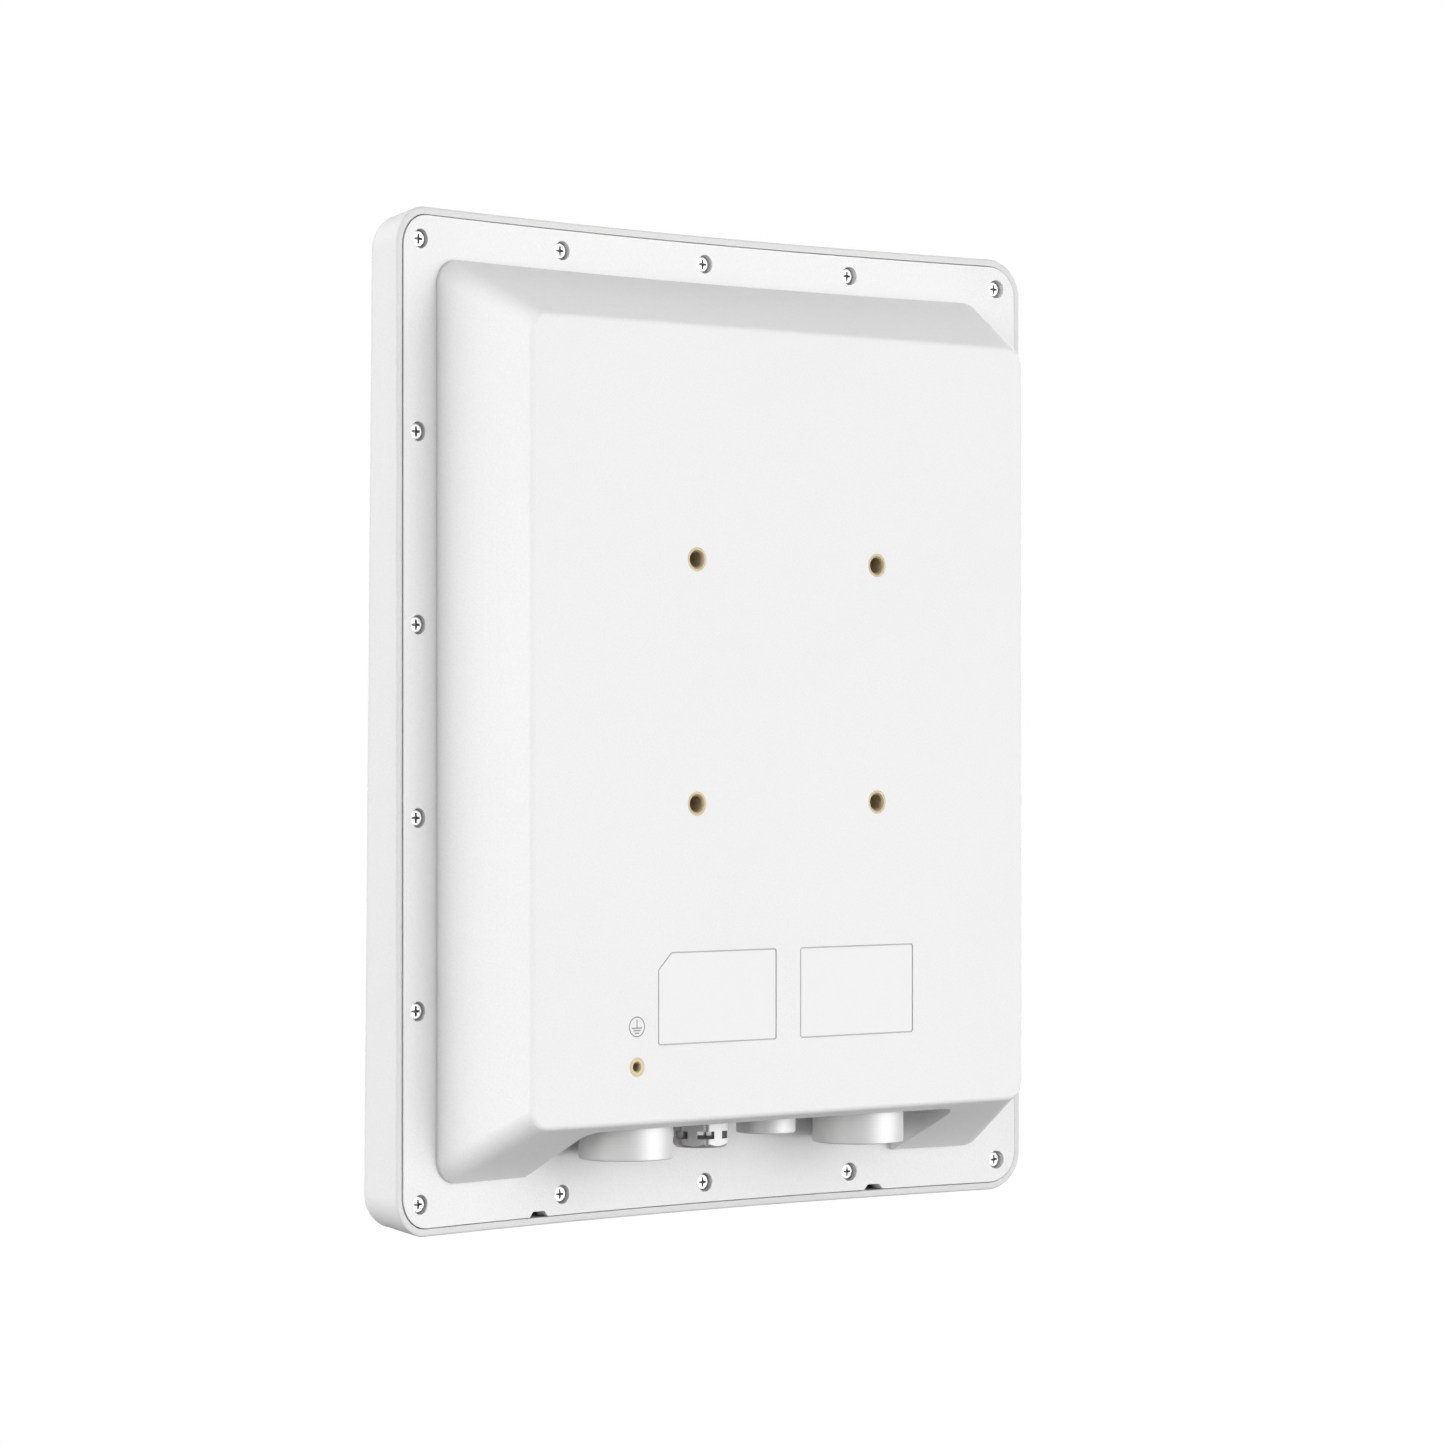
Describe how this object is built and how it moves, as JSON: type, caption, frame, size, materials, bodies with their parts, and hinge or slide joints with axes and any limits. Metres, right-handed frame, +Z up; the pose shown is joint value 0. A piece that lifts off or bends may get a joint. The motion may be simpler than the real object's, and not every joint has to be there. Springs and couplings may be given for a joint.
{
  "type": "security gate reader panel",
  "caption": "White portrait antenna and reader panel of a retail security gate, with an arched rim, a raised rear box and sockets in an alcove underneath.",
  "frame": {"origin": "centre of the four threaded mounting inserts, on the plane of the rear face", "axes": "+Y out of the rear face towards the wall or pole bracket, +Z up, and the curved front faces -Y"},
  "size_m": [0.26, 0.0633, 0.31],
  "materials": {
    "shell_paint": "finely textured white moulded plastic",
    "cover_paint": "white powder coat with a fine texture",
    "brass_insert": "knurled brass, as turned",
    "seal_rubber": "black silicone rubber",
    "screw_steel": "bright zinc-plated steel",
    "bare_ring": "bare metal with a pale tan chromate film",
    "label_film": "blank satin polyester film",
    "collar_metal": "bead-blasted, clear anodised",
    "connector_plastic": "black moulded nylon",
    "contact_gold": "gold-plated contacts",
    "nut_metal": "clear anodised",
    "vent_metal": "nickel-plated, satin",
    "membrane": "white porous membrane",
    "circuit_board": "green solder mask over copper tracks",
    "chip_plastic": "black moulding compound",
    "header_plastic": "cream nylon",
    "shield_steel": "tinned sheet steel",
    "thermal_pad": "blue-grey silicone pad",
    "reflector_sheet": "mill-finish sheet",
    "patch_sheet": "mill-finish sheet",
    "nylon": "natural nylon",
    "lead_jacket": "black cable jacket"
  },
  "bodies": {
    "root": {"front_shell": "shell_paint", "shell_inserts": "brass_insert", "rim_gasket": "seal_rubber", "rear_cover": "cover_paint", "cover_screws": "screw_steel", "mount_inserts": "bare_ring", "earth_insert": "bare_ring", "blank_label_left": "label_film", "blank_label_right": "label_film", "data_collar_left": "collar_metal", "data_collar_right": "collar_metal", "data_jack_left": "connector_plastic", "data_jack_right": "connector_plastic", "data_contacts_left": "contact_gold", "data_contacts_right": "contact_gold", "data_gasket_left": "seal_rubber", "data_gasket_right": "seal_rubber", "data_nut_left": "nut_metal", "data_nut_right": "nut_metal", "aux_collar": "collar_metal", "aux_insulator": "connector_plastic", "aux_contacts": "contact_gold", "aux_gasket": "seal_rubber", "aux_nut": "nut_metal", "vent_body": "vent_metal", "vent_membrane": "membrane", "vent_o_ring": "seal_rubber", "vent_nut": "nut_metal", "reader_board": "circuit_board", "board_components": "chip_plastic", "board_headers": "header_plastic", "coax_jacks": "contact_gold", "rf_shield": "shield_steel", "thermal_pad": "thermal_pad", "board_screws": "screw_steel", "reflector": "reflector_sheet", "reflector_screws": "screw_steel", "patch_upper": "patch_sheet", "patch_lower": "patch_sheet", "patch_standoffs": "nylon", "feed_board": "circuit_board", "feed_pins": "contact_gold", "coax_lead": "lead_jacket", "data_lead_left": "lead_jacket", "data_lead_right": "lead_jacket", "aux_lead": "lead_jacket"}
  },
  "joints": []
}
